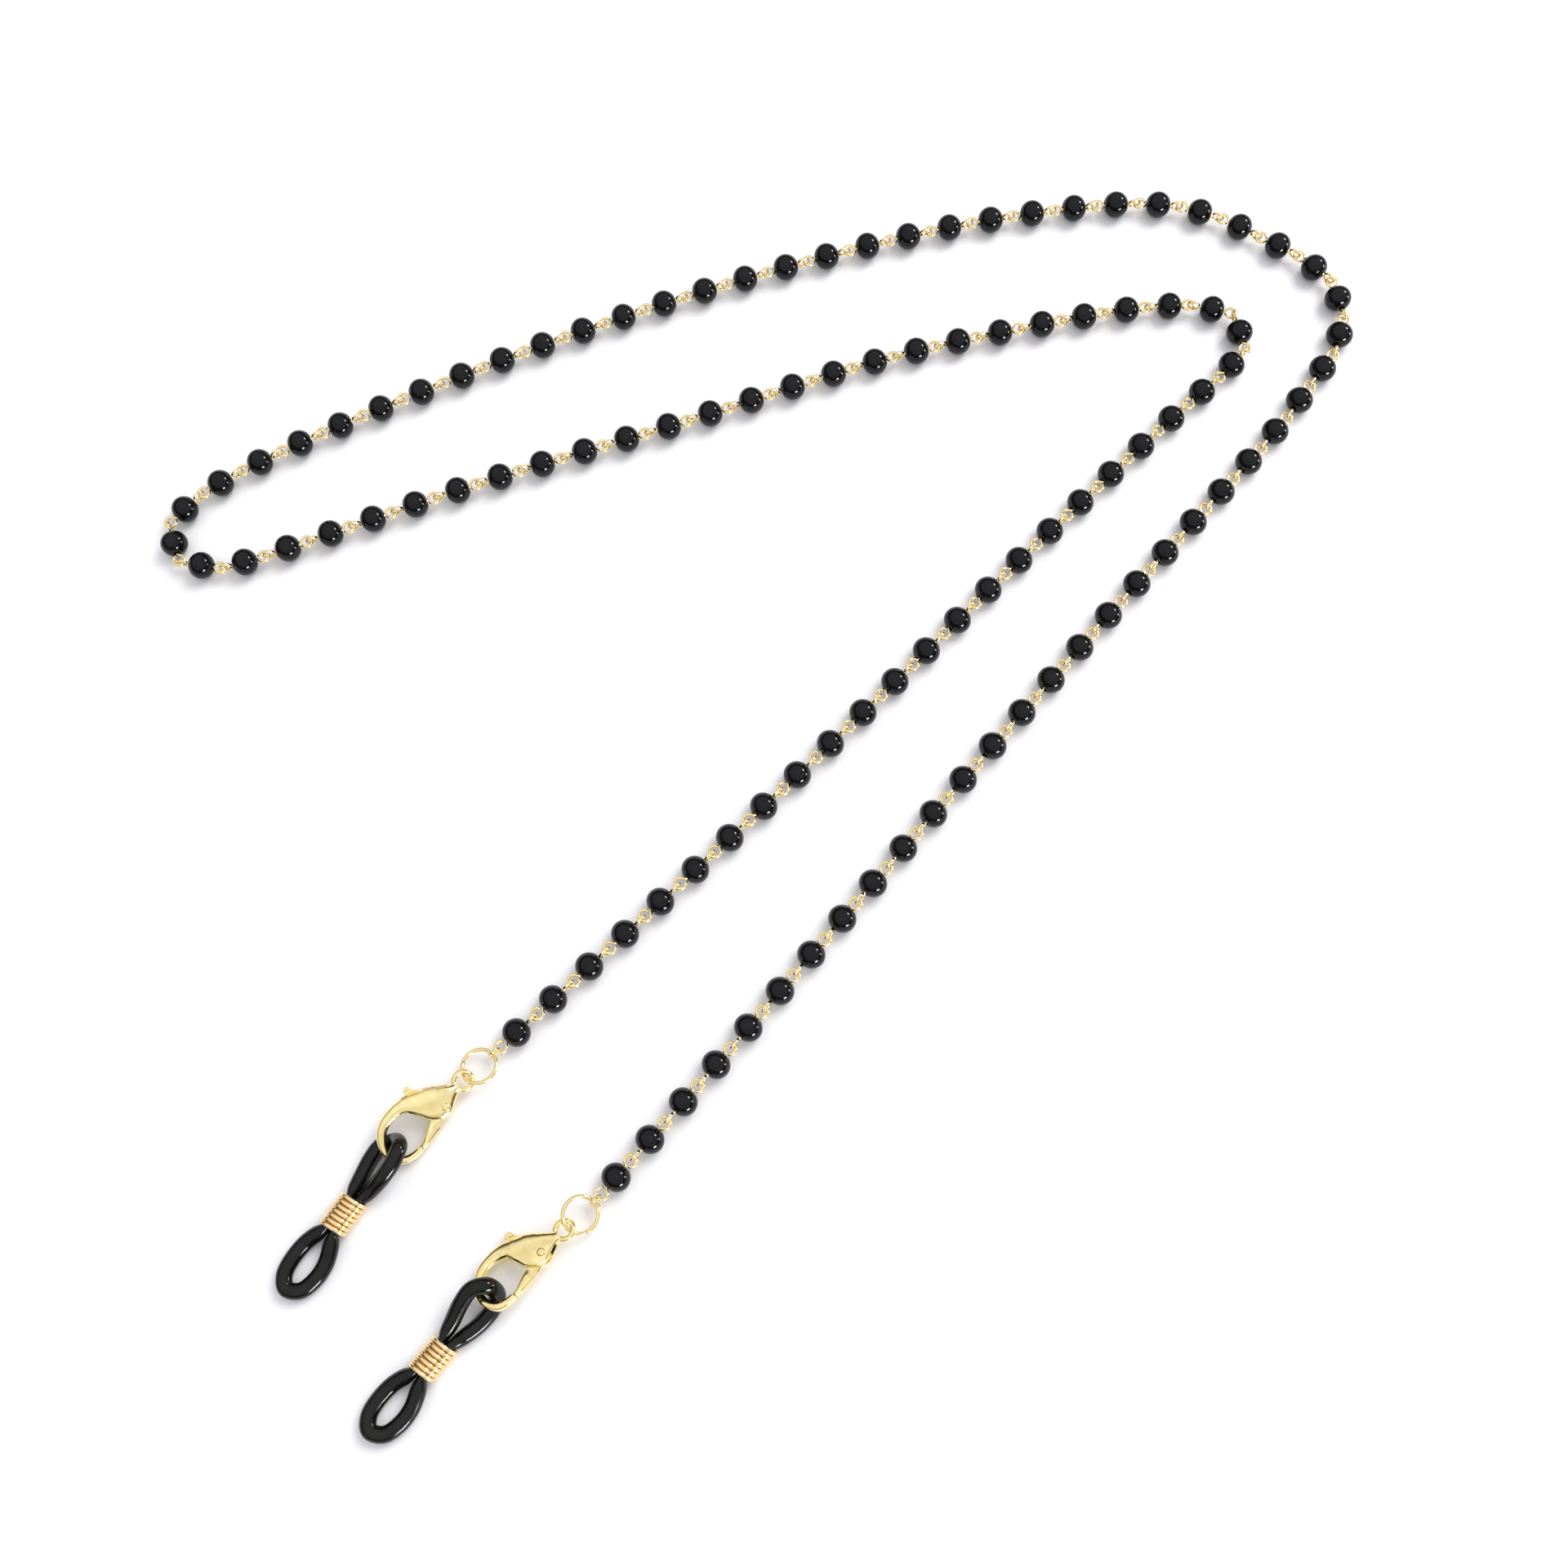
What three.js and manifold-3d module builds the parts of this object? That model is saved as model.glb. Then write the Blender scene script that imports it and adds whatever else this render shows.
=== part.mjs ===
// Beaded eyeglass strap: a rosary chain of glass beads on wire eye pins, with a jump ring, a
// lobster clasp and a rubber temple loop at each end. Millimetres, +Z up, lying on z = 0 with
// the origin at the bottom centre of its outline.
import * as THREE from 'three';
import { mergeVertices } from 'three/addons/utils/BufferGeometryUtils.js';
import Module from 'manifold-3d';

const wasm = await Module();
wasm.setup();

// Driving dimensions
const BEAD_DIAMETER = 4.0;
const BEAD_HALF_LENGTH = 1.75;
const BEAD_HOLE_RADIUS = 0.5;
const LINK_PITCH = 6.52;
const LINK_COUNT = 106;
const WIRE_RADIUS = 0.21;
const EYE_RADIUS = 0.8;
const EYE_CENTRE = 2.83;
const JUMP_RING_RADIUS = 2.38;
const JUMP_RING_WIRE = 0.275;
const CLASP_EYE_RADIUS = 1.22;
const CLASP_EYE_WIRE = 0.38;
const CLASP_THICKNESS = 2.8;
const HOOK_THICKNESS = 1.6;
const SLOT_THICKNESS = 1.5;
const LEVER_THICKNESS = 0.96;
const RIVET_RADIUS = 0.45;
const RUBBER_RADIUS = 1.1;
const WAIST_RADIUS = 1.1;
const COIL_WIRE = 0.3;
const COIL_TURNS = 7;
const COIL_PITCH = 0.7;
const COIL_GAP = 0.13;

// Running clearances: jump ring to the clasp's eye, rivet to its bores, and coil end to rubber.
const EYE_CLEARANCE = 0.13;
const RIVET_CLEARANCE = 0.06;
const COIL_END_CLEARANCE = 0.35;

const NECK_THICKNESS = 1.1;
const RIVET_SUNK = 0.02;

// From a bead's centre to where its pin's straight shank meets the wire of the eye.
const SHANK_REACH = EYE_CENTRE - EYE_RADIUS;

// Inside the small ring at each end, the last eye's wire and the jump ring's wire lie this far
// to either side of the small ring's centre.
const EYE_SLACK = 0.33;
const JUMP_SLACK = 0.28;

// Bead centres lie one bead radius above the surface that the strap rests on.
const CHAIN_HEIGHT = BEAD_DIAMETER / 2;

// The chain is modelled in rigid runs of links, from the left end to the right end. The first
// and the last link stay apart from the runs, as a separate bead and eye pin.
const RUN_LENGTHS = [4, 4, 4, 4, 4, 5, 4, 4, 4, 4, 5, 5, 4, 4, 4, 4, 5, 4, 5, 4, 4, 4, 4, 4, 3];

// Route of the chain over the surface: four passes joined by three turns.
const ROUTE = [
  [-40.5, -39], [-13.5, -16.5], [11, 4.5], [35, 26], [59.5, 47], [69.5, 55],
  [74, 60], [71.5, 66], [65, 67],
  [52, 66.5], [20.5, 61.5], [-11, 53], [-42, 45], [-67, 37.5],
  [-79.5, 34], [-85.5, 35], [-88, 41], [-84, 45.5], [-78.5, 49],
  [-60.5, 57], [-30.5, 68], [0.5, 77], [32, 83.5], [58, 85.5],
  [70.5, 83], [81, 76], [86.5, 72], [89, 66], [88, 59.5], [84, 54.5],
  [75.5, 44.5], [52.5, 22], [29.5, -1], [7, -24], [-11, -42.5], [-27, -58.5],
];

// How each end assembly lies: the clasp's heading over the surface and its roll about its own
// length, the height of its mid plane, and the roll of the jump ring the other way.
const ENDS = [
  { side: 'left', heading: 223, roll: 25, height: 2.3, ringHeading: 220, ringRoll: -15 },
  { side: 'right', heading: 218, roll: -18, height: 2.85, ringHeading: 221, ringRoll: 22 },
];

const GOLD = { color: 0xe6c76a, roughness: 0.2, metalness: 1 };
const BLACK_GLASS = { color: 0x0a0a0c, roughness: 0.08, metalness: 0 };
const BLACK_RUBBER = { color: 0x101012, roughness: 0.35, metalness: 0 };

// ---------------------------------------------------------------- solids and meshes

function toSolid(geometry) {
  const bare = geometry.clone();
  bare.deleteAttribute('normal');
  bare.deleteAttribute('uv');
  const merged = mergeVertices(bare, 1e-5);
  return new wasm.Manifold(new wasm.Mesh({
    numProp: 3,
    vertProperties: new Float32Array(merged.attributes.position.array),
    triVerts: new Uint32Array(merged.index.array),
  }));
}

function toGeometry(solid) {
  const mesh = solid.getMesh();
  const geometry = new THREE.BufferGeometry();
  geometry.setAttribute('position', new THREE.BufferAttribute(mesh.vertProperties, 3));
  geometry.setIndex(new THREE.BufferAttribute(mesh.triVerts, 1));
  return geometry;
}

function join(geometries) {
  const solids = geometries.map(toSolid);
  return solids.slice(1).reduce((sum, solid) => sum.add(solid), solids[0]);
}

function addMesh(parent, name, geometry, finish) {
  const mesh = new THREE.Mesh(geometry, new THREE.MeshStandardMaterial(finish));
  mesh.name = name;
  parent.add(mesh);
  return mesh;
}

// A closed ring of round wire, its axis along Z.
function ringGeometry(radius, wire, around, section) {
  return new THREE.TorusGeometry(radius, wire, section, around);
}

// A plate with its outline in the XY plane and its mid plane at z = 0.
function plateGeometry(outline, thickness) {
  const shape = new THREE.Shape(outline.map(([x, y]) => new THREE.Vector2(x, y)));
  const plate = new THREE.ExtrudeGeometry(shape, { depth: thickness, bevelEnabled: false });
  return plate.translate(0, 0, -thickness / 2);
}

// A tube with flat ends along a curve.
function tubeGeometry(curve, radius, sides, steps) {
  const section = new THREE.Shape();
  for (let i = 0; i < sides; i += 1) {
    const angle = (2 * Math.PI * (i + 0.5)) / sides;
    const point = [radius * Math.cos(angle), radius * Math.sin(angle)];
    if (i === 0) section.moveTo(...point);
    else section.lineTo(...point);
  }
  section.closePath();
  return new THREE.ExtrudeGeometry(section, { steps, bevelEnabled: false, extrudePath: curve });
}

function rodGeometry(start, end, radius, sides) {
  const length = start.distanceTo(end);
  const rod = new THREE.CylinderGeometry(radius, radius, length, sides);
  const along = end.clone().sub(start).normalize();
  const turn = new THREE.Quaternion().setFromUnitVectors(new THREE.Vector3(0, 1, 0), along);
  return rod.applyQuaternion(turn).translate(...start.clone().add(end).multiplyScalar(0.5));
}

// ---------------------------------------------------------------- chain

// Points one link apart, as chords of the smooth route.
function linkPoints() {
  const corners = ROUTE.map(([x, y]) => new THREE.Vector3(x, y, CHAIN_HEIGHT));
  const curve = new THREE.CatmullRomCurve3(corners, false, 'catmullrom', 0.5);
  const fine = curve.getPoints(24 * (ROUTE.length - 1));
  const points = [fine[0].clone()];
  let next = 1;
  while (points.length <= LINK_COUNT) {
    const last = points[points.length - 1];
    while (next < fine.length - 1 && fine[next].distanceTo(last) < LINK_PITCH) next += 1;
    points.push(chordEnd(last, fine[next - 1], fine[next]));
  }
  return points;
}

// Where the line from one fine point through the next is one pitch away from a link's start.
function chordEnd(from, before, after) {
  const along = after.clone().sub(before).normalize();
  const offset = before.clone().sub(from);
  const b = offset.dot(along);
  const c = offset.lengthSq() - LINK_PITCH ** 2;
  return before.clone().addScaledVector(along, -b + Math.sqrt(b * b - c));
}

const POINTS = linkPoints();
const headingOf = (link) => POINTS[link + 1].clone().sub(POINTS[link]).normalize();
const middleOf = (link) => POINTS[link].clone().add(POINTS[link + 1]).multiplyScalar(0.5);

// A link's frame: x along the chain, z up, origin at the bead's centre.
function linkFrame(link) {
  const x = headingOf(link);
  const z = new THREE.Vector3(0, 0, 1);
  const y = z.clone().cross(x);
  return new THREE.Matrix4().makeBasis(x, y, z).setPosition(middleOf(link));
}

// The eye at the start of each pin lies flat, and the one at its end stands upright.
function flatEye() {
  return ringGeometry(EYE_RADIUS, WIRE_RADIUS, 8, 4).translate(-EYE_CENTRE, 0, 0);
}

function uprightEye() {
  return ringGeometry(EYE_RADIUS, WIRE_RADIUS, 8, 4).rotateX(Math.PI / 2)
    .translate(EYE_CENTRE, 0, 0);
}

// A run's beads are coarse: round enough to hold a bead's place, weight and contact.
function coarseBead() {
  const end = BEAD_HALF_LENGTH;
  const profile = [[0, -end], [0.5, -end], [1, -0.12 * end], [1, 0.12 * end], [0.5, end], [0, end]]
    .map(([share, along]) => new THREE.Vector2((share * BEAD_DIAMETER) / 2, along));
  return new THREE.LatheGeometry(profile, 6).rotateZ(-Math.PI / 2);
}

// The point on a link's axis this far from its bead's centre, positive along the chain.
function onAxis(link, distance) {
  return middleOf(link).addScaledVector(headingOf(link), distance);
}

function wireThrough(...points) {
  const path = new THREE.CatmullRomCurve3(points, false, 'chordal');
  return tubeGeometry(path, WIRE_RADIUS, 4, points.length - 1);
}

function buildRun(first, count) {
  const last = first + count - 1;
  const insideBead = BEAD_HALF_LENGTH - WIRE_RADIUS;
  const pieces = [
    flatEye().applyMatrix4(linkFrame(first)),
    wireThrough(onAxis(first, -SHANK_REACH), onAxis(first, -insideBead)),
    wireThrough(onAxis(last, insideBead), onAxis(last, SHANK_REACH)),
    uprightEye().applyMatrix4(linkFrame(last)),
  ];
  for (let link = first; link <= last; link += 1) {
    pieces.push(coarseBead().applyMatrix4(linkFrame(link)));
  }
  for (let link = first + 1; link <= last; link += 1) {
    const before = onAxis(link - 1, insideBead);
    pieces.push(wireThrough(before, POINTS[link], onAxis(link, -insideBead)));
  }
  return toGeometry(join(pieces));
}

function buildPin(bothFlat) {
  const shank = rodGeometry(
    new THREE.Vector3(-SHANK_REACH, 0, 0), new THREE.Vector3(SHANK_REACH, 0, 0), WIRE_RADIUS, 6,
  );
  const farEye = bothFlat ? flatEye().rotateZ(Math.PI) : uprightEye();
  return toGeometry(join([flatEye(), shank, farEye]));
}

// A bead with its hole, turned about the chain's direction.
function buildBead() {
  const profile = [new THREE.Vector2(BEAD_HOLE_RADIUS, -BEAD_HALF_LENGTH)];
  const steps = 6;
  const lip = Math.acos(0.93);
  for (let i = 0; i <= steps; i += 1) {
    const angle = lip + ((Math.PI - 2 * lip) * i) / steps;
    const across = (BEAD_DIAMETER / 2) * Math.sin(angle);
    const along = (-BEAD_HALF_LENGTH * Math.cos(angle)) / Math.cos(lip);
    profile.push(new THREE.Vector2(across, along));
  }
  profile.push(new THREE.Vector2(BEAD_HOLE_RADIUS, BEAD_HALF_LENGTH));
  profile.push(profile[0].clone());
  return new THREE.LatheGeometry(profile, 12).rotateZ(-Math.PI / 2);
}

// ---------------------------------------------------------------- lobster clasp
// Clasp frame: x from the rear eye to the hook, y to the thumb knob's side, z = 0 the mid plane.

const PIVOT = [3.9, -0.7];

const NECK_OUTLINE = [[0.95, -0.55], [1.9, -0.7], [1.9, 0.9], [0.95, 0.6]];

// Both cheeks of the body, from the neck behind the rear eye to the start of the hook.
const BODY_OUTLINE = [
  [1.25, -0.6], [1.75, -0.9], [3.5, -1.75], [4.3, -2.0], [5.2, -2.0], [6.3, -0.75],
  [6.9, 0.4], [7.4, 1.6], [8.3, 2.55], [8.3, 4.35], [6.8, 4.1], [5.4, 3.4], [3.9, 2.45], [1.25, 0.8],
];

const HOOK_OUTLINE = [
  [7.0, 1.9], [7.9, 2.6], [9.5, 2.85], [11.0, 2.7], [12.1, 2.1], [12.75, 1.2],
  [12.9, 0.1], [12.65, -0.9], [12.0, -1.6], [11.1, -1.95], [9.95, -2.0],
  [9.75, -2.85], [11.3, -2.95], [12.6, -2.45], [13.5, -1.4],
  [13.9, 0.1], [13.75, 1.5], [13.1, 2.9], [12.0, 3.8], [10.45, 4.3], [8.55, 4.35], [7.0, 4.1],
];

// Room inside the cheeks for the lever over its whole travel.
const SLOT_OUTLINE = [
  [1.9, -1.6], [4.3, -3.0], [6.0, -3.0], [8.6, 0.5], [7.75, 2.1], [7.2, 3.2], [7.3, 6.0],
  [1.9, 6.0],
];

const LEVER_OUTLINE = [
  [3.1, -1.1], [3.6, -1.55], [5.2, -1.85], [6.9, -2.45], [9.1, -2.75], [9.45, -2.55],
  [9.4, -2.1], [8.0, -1.5], [6.5, -0.65], [5.6, 0.3], [5.6, 2.4], [6.6, 3.9], [6.55, 4.6],
  [6.1, 5.15], [5.6, 5.2], [5.3, 4.9], [5.15, 3.9], [4.4, 2.9], [3.7, 1.0], [3.05, -0.2],
];

function buildClaspBody() {
  const eye = ringGeometry(CLASP_EYE_RADIUS, CLASP_EYE_WIRE, 14, 6);
  const body = plateGeometry(BODY_OUTLINE, CLASP_THICKNESS);
  const hook = plateGeometry(HOOK_OUTLINE, HOOK_THICKNESS);
  const neck = plateGeometry(NECK_OUTLINE, NECK_THICKNESS);
  const slot = toSolid(plateGeometry(SLOT_OUTLINE, SLOT_THICKNESS));
  const bore = toSolid(rivetCylinder(RIVET_RADIUS + RIVET_CLEARANCE, 2 * CLASP_THICKNESS));
  return toGeometry(join([eye, neck, body, hook]).subtract(slot).subtract(bore));
}

function rivetCylinder(radius, length) {
  return new THREE.CylinderGeometry(radius, radius, length, 12)
    .rotateX(Math.PI / 2).translate(PIVOT[0], PIVOT[1], 0);
}

function buildLever() {
  const plate = toSolid(plateGeometry(LEVER_OUTLINE, LEVER_THICKNESS));
  const bore = toSolid(rivetCylinder(RIVET_RADIUS + RIVET_CLEARANCE, CLASP_THICKNESS));
  return toGeometry(plate.subtract(bore));
}

function buildRivet() {
  return rivetCylinder(RIVET_RADIUS, CLASP_THICKNESS - 2 * RIVET_SUNK);
}

// A bent leaf between the end of the slot and the back of the lever.
function buildSpring() {
  const leaf = [
    [2.0, -0.5], [2.12, -0.5], [2.2, 0.75], [2.42, 0.95], [2.75, 0.75], [2.9, 0.2], [3.0, 0.2],
    [2.95, 0.7], [2.6, 1.1], [2.35, 1.15], [2.08, 0.85],
  ];
  return plateGeometry(leaf, LEVER_THICKNESS);
}

// ---------------------------------------------------------------- rubber loop and coil
// Loop frame: the clasp's x and y over the surface, and the height above it.

const HOOK_BAR_X = 13.4;
const WAIST_START = [20.3, -0.7];
const WAIST_END = [25.2, -1.35];
const STRAND_HEIGHT = RUBBER_RADIUS + 0.02;

// Inside the coil the strands lie this far to either side of its axis and reach this far in,
// and the waist that joins them reaches this far out of it.
const STRAND_OFFSET = 0.42;
const STRAND_REACH = 0.7;
const WAIST_REACH = 0.9;

// Centre line of the rubber on the clasp's side of the coil, out on one strand and back on the
// other. One strand passes under the hook and the other over it.
function claspStrands(end) {
  const lift = Math.sin(THREE.MathUtils.degToRad(end.roll));
  const barHeight = (y) => end.height + lift * y;
  const over = Math.sign(end.roll);
  const step = (x, y, rise) => [x, y, barHeight(y) + rise];
  return [
    [18.0, -1.55, end.roll > 0 ? 2.2 : 1.35],
    [15.4, -1.65, barHeight(-1.65) + over * (over > 0 ? 1.95 : 2.2)],
    step(HOOK_BAR_X, -1.3, over * 2.13),
    step(11.9, -0.55, over * 1.58),
    step(11.55, 0.35, 0),
    step(11.9, 1.25, -over * 1.58),
    step(HOOK_BAR_X, 2.0, -over * 2.04),
    [15.4, 1.75, over > 0 ? 1.15 : 3.6],
    [18.0, 0.85, over > 0 ? 1.35 : 2.3],
  ];
}

// The temple loop, a long teardrop beyond the coil, lying on the surface.
const TEMPLE_STRANDS = [
  [26.6, -0.35], [28.8, 0.3], [31.4, 0.15], [33.4, -0.7], [34.3, -2.45], [33.0, -4.35],
  [30.9, -4.75], [28.4, -4.0], [26.4, -2.6],
];

const COIL_RADIUS = WAIST_RADIUS + COIL_GAP + COIL_WIRE;
const WAIST_HEIGHT = COIL_RADIUS + COIL_WIRE;

function buildRubberLoop(end, toWorld) {
  const start = toWorld([...WAIST_START, WAIST_HEIGHT]);
  const finish = toWorld([...WAIST_END, WAIST_HEIGHT]);
  const along = finish.clone().sub(start).normalize();
  const across = new THREE.Vector3(along.y, -along.x, 0);
  const claspEnds = [-1, 1].map((s) => start.clone()
    .addScaledVector(across, s * STRAND_OFFSET).addScaledVector(along, STRAND_REACH));
  const templeEnds = [1, -1].map((s) => finish.clone()
    .addScaledVector(across, s * STRAND_OFFSET).addScaledVector(along, -STRAND_REACH));
  const claspPath = [claspEnds[0], ...claspStrands(end).map(toWorld), claspEnds[1]];
  const templePath = [templeEnds[0],
    ...TEMPLE_STRANDS.map(([x, y]) => toWorld([x, y, STRAND_HEIGHT])), templeEnds[1]];
  const strands = [claspPath, templePath].map((path) => tubeGeometry(
    new THREE.CatmullRomCurve3(path, false, 'centripetal'), RUBBER_RADIUS, 8, 16,
  ));
  const rodPast = (reach, radius, sides) => toSolid(rodGeometry(
    start.clone().addScaledVector(along, -reach),
    finish.clone().addScaledVector(along, reach), radius, sides,
  ));
  const [claspSide, templeSide] = strands.map(toSolid);
  const sleeve = rodPast(COIL_END_CLEARANCE, 2 * WAIST_HEIGHT, 12);
  const waist = rodPast(WAIST_REACH, WAIST_RADIUS, 10);
  return toGeometry(claspSide.add(templeSide).subtract(sleeve).add(waist));
}

class CoilCurve extends THREE.Curve {
  constructor(start, along, radius) {
    super();
    this.start = start;
    this.along = along;
    this.side = new THREE.Vector3(-along.y, along.x, 0);
    this.radius = radius;
  }

  getPoint(t, target = new THREE.Vector3()) {
    const angle = 2 * Math.PI * COIL_TURNS * t;
    return target.copy(this.start)
      .addScaledVector(this.along, COIL_TURNS * COIL_PITCH * t)
      .addScaledVector(this.side, this.radius * Math.cos(angle))
      .add(new THREE.Vector3(0, 0, this.radius * Math.sin(angle)));
  }
}

function buildCoil(toWorld) {
  const start = toWorld([...WAIST_START, WAIST_HEIGHT]);
  const along = toWorld([...WAIST_END, WAIST_HEIGHT]).sub(start).normalize();
  const curve = new CoilCurve(start, along, COIL_RADIUS);
  return tubeGeometry(curve, COIL_WIRE, 4, COIL_TURNS * 8);
}

// ---------------------------------------------------------------- end assemblies

function rolledFrame(origin, headingDegrees, pitchRise, rollDegrees) {
  const heading = THREE.MathUtils.degToRad(headingDegrees);
  const roll = THREE.MathUtils.degToRad(rollDegrees);
  const flat = Math.sqrt(1 - pitchRise ** 2);
  const x = new THREE.Vector3(Math.cos(heading) * flat, Math.sin(heading) * flat, pitchRise);
  const level = new THREE.Vector3(x.y, -x.x, 0).normalize();
  const up = level.clone().cross(x);
  const y = level.multiplyScalar(Math.cos(roll)).addScaledVector(up, Math.sin(roll));
  return new THREE.Matrix4().makeBasis(x, y, x.clone().cross(y)).setPosition(origin);
}

function placed(parent, frame) {
  const group = new THREE.Group();
  frame.decompose(group.position, group.quaternion, group.scale);
  parent.add(group);
  return group;
}

function buildEnd(strap, end) {
  const isLeft = end.side === 'left';
  const link = isLeft ? 0 : LINK_COUNT - 1;
  const joint = isLeft ? POINTS[0] : POINTS[LINK_COUNT];
  const outward = headingOf(link).multiplyScalar(isLeft ? -1 : 1);
  const name = (piece) => `${end.side}_${piece}`;

  const linkGroup = placed(strap, linkFrame(link));
  addMesh(linkGroup, name('end_bead'), buildBead(), BLACK_GLASS);
  addMesh(linkGroup, name('end_eye_pin'), buildPin(!isLeft), GOLD);

  // Small upright ring through the last eye
  const passBy = EYE_CENTRE + EYE_RADIUS - LINK_PITCH / 2;
  const smallCentre = joint.clone().addScaledVector(outward, passBy + EYE_SLACK);
  const small = placed(strap, linkFrame(link).setPosition(smallCentre));
  const smallRing = ringGeometry(EYE_RADIUS, WIRE_RADIUS, 10, 5).rotateX(Math.PI / 2);
  addMesh(small, name('small_ring'), smallRing, GOLD);

  // Jump ring through the small ring
  const near = smallCentre.clone().addScaledVector(outward, JUMP_SLACK);
  const rise = (end.height - near.z) / (2 * JUMP_RING_RADIUS);
  const ringFrame = rolledFrame(near, end.ringHeading, rise, end.ringRoll);
  const ringAxis = new THREE.Vector3().setFromMatrixColumn(ringFrame, 0);
  ringFrame.setPosition(near.clone().addScaledVector(ringAxis, JUMP_RING_RADIUS));
  const ringMesh = ringGeometry(JUMP_RING_RADIUS, JUMP_RING_WIRE, 20, 5);
  addMesh(placed(strap, ringFrame), name('jump_ring'), ringMesh, GOLD);

  // Lobster clasp on the jump ring
  const far = near.clone().addScaledVector(ringAxis, 2 * JUMP_RING_RADIUS);
  const claspFrame = rolledFrame(far, end.heading, 0, end.roll);
  const claspAxis = new THREE.Vector3().setFromMatrixColumn(claspFrame, 0);
  const hooked = CLASP_EYE_RADIUS - CLASP_EYE_WIRE - JUMP_RING_WIRE - EYE_CLEARANCE;
  const eyeCentre = far.clone().addScaledVector(claspAxis, hooked);
  const clasp = placed(strap, claspFrame.setPosition(eyeCentre));
  addMesh(clasp, name('clasp_body'), buildClaspBody(), GOLD);
  addMesh(clasp, name('clasp_lever'), buildLever(), GOLD);
  addMesh(clasp, name('clasp_rivet'), buildRivet(), GOLD);
  addMesh(clasp, name('clasp_spring'), buildSpring(), GOLD);

  // Rubber loop through the hook, and the coil that pinches it
  const knobSide = new THREE.Vector3(claspAxis.y, -claspAxis.x, 0);
  const toWorld = ([x, y, z]) => new THREE.Vector3(eyeCentre.x, eyeCentre.y, z)
    .addScaledVector(claspAxis, x).addScaledVector(knobSide, y);
  addMesh(strap, name('rubber_loop'), buildRubberLoop(end, toWorld), BLACK_RUBBER);
  addMesh(strap, name('coil'), buildCoil(toWorld), GOLD);
}

const strap = new THREE.Group();
let firstLink = 1;
RUN_LENGTHS.forEach((count, index) => {
  const name = `bead_run_${String(index + 1).padStart(2, '0')}`;
  addMesh(strap, name, buildRun(firstLink, count), BLACK_GLASS);
  firstLink += count;
});
ENDS.forEach((end) => buildEnd(strap, end));

export default strap;
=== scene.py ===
import math
import random

import bpy
import numpy as np
from mathutils import Matrix, Vector


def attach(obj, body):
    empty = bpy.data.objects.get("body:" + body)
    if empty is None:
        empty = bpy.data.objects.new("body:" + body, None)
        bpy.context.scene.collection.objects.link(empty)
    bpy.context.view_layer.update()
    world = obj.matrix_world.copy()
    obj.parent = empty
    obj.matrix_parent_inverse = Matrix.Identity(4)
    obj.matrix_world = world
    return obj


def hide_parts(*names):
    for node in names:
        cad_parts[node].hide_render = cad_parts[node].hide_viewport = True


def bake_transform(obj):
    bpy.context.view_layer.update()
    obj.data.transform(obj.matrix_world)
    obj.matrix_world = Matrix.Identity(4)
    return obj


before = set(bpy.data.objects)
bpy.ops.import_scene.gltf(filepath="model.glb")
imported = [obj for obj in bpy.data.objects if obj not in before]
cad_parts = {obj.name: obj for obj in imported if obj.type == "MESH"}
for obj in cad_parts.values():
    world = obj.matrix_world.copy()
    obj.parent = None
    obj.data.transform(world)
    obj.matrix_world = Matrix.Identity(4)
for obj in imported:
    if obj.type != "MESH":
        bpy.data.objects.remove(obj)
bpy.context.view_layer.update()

# The part's own sizes, in millimetres. Meshes are built in millimetres and scaled at the end.
MM = 0.001
LINK_PITCH = 6.52
LINK_COUNT = 106
BEAD_RADIUS = 2.0
BEAD_HALF_LENGTH = 1.75
WIRE = 0.21
EYE_RADIUS = 0.8
EYE_CENTRE = 2.83
EYE_START = 212
EYE_SWEEP = 308
JUMP_RING_RADIUS = 2.38
JUMP_RING_WIRE = 0.275
CLASP_EYE_RADIUS = 1.22
CLASP_EYE_WIRE = 0.38
RUBBER = 1.1
COIL_WIRE = 0.33
COIL_TURNS = 7
COIL_PITCH = 0.7
COIL_RADIUS = 1.53
COIL_WIDER = 0.15
COIL_LOWER = 0.04
WAIST_HEIGHT = 1.83
CHAIN_HEIGHT = 2.0

RUN_LENGTHS = [4, 4, 4, 4, 4, 5, 4, 4, 4, 4, 5, 5, 4, 4, 4, 4, 5, 4, 5, 4, 4, 4, 4, 4, 3]
ROUTE = [
    (-40.5, -39), (-13.5, -16.5), (11, 4.5), (35, 26), (59.5, 47), (69.5, 55),
    (74, 60), (71.5, 66), (65, 67),
    (52, 66.5), (20.5, 61.5), (-11, 53), (-42, 45), (-67, 37.5),
    (-79.5, 34), (-85.5, 35), (-88, 41), (-84, 45.5), (-78.5, 49),
    (-60.5, 57), (-30.5, 68), (0.5, 77), (32, 83.5), (58, 85.5),
    (70.5, 83), (81, 76), (86.5, 72), (89, 66), (88, 59.5), (84, 54.5),
    (75.5, 44.5), (52.5, 22), (29.5, -1), (7, -24), (-11, -42.5), (-27, -58.5),
]
ENDS = {
    "left": dict(heading=223, roll=25, height=2.3, ring_heading=220, ring_roll=-15),
    "right": dict(heading=218, roll=-18, height=2.85, ring_heading=221, ring_roll=22),
}
PIVOT = (3.9, -0.7)
CAST_VOXEL = 0.042
HOOK_BAR_X = 13.4
WAIST_START = (20.3, -0.7)
WAIST_END = (25.2, -1.35)

Z = Vector((0, 0, 1))
rng = random.Random(7)


# ---------------------------------------------------------------- camera

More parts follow.
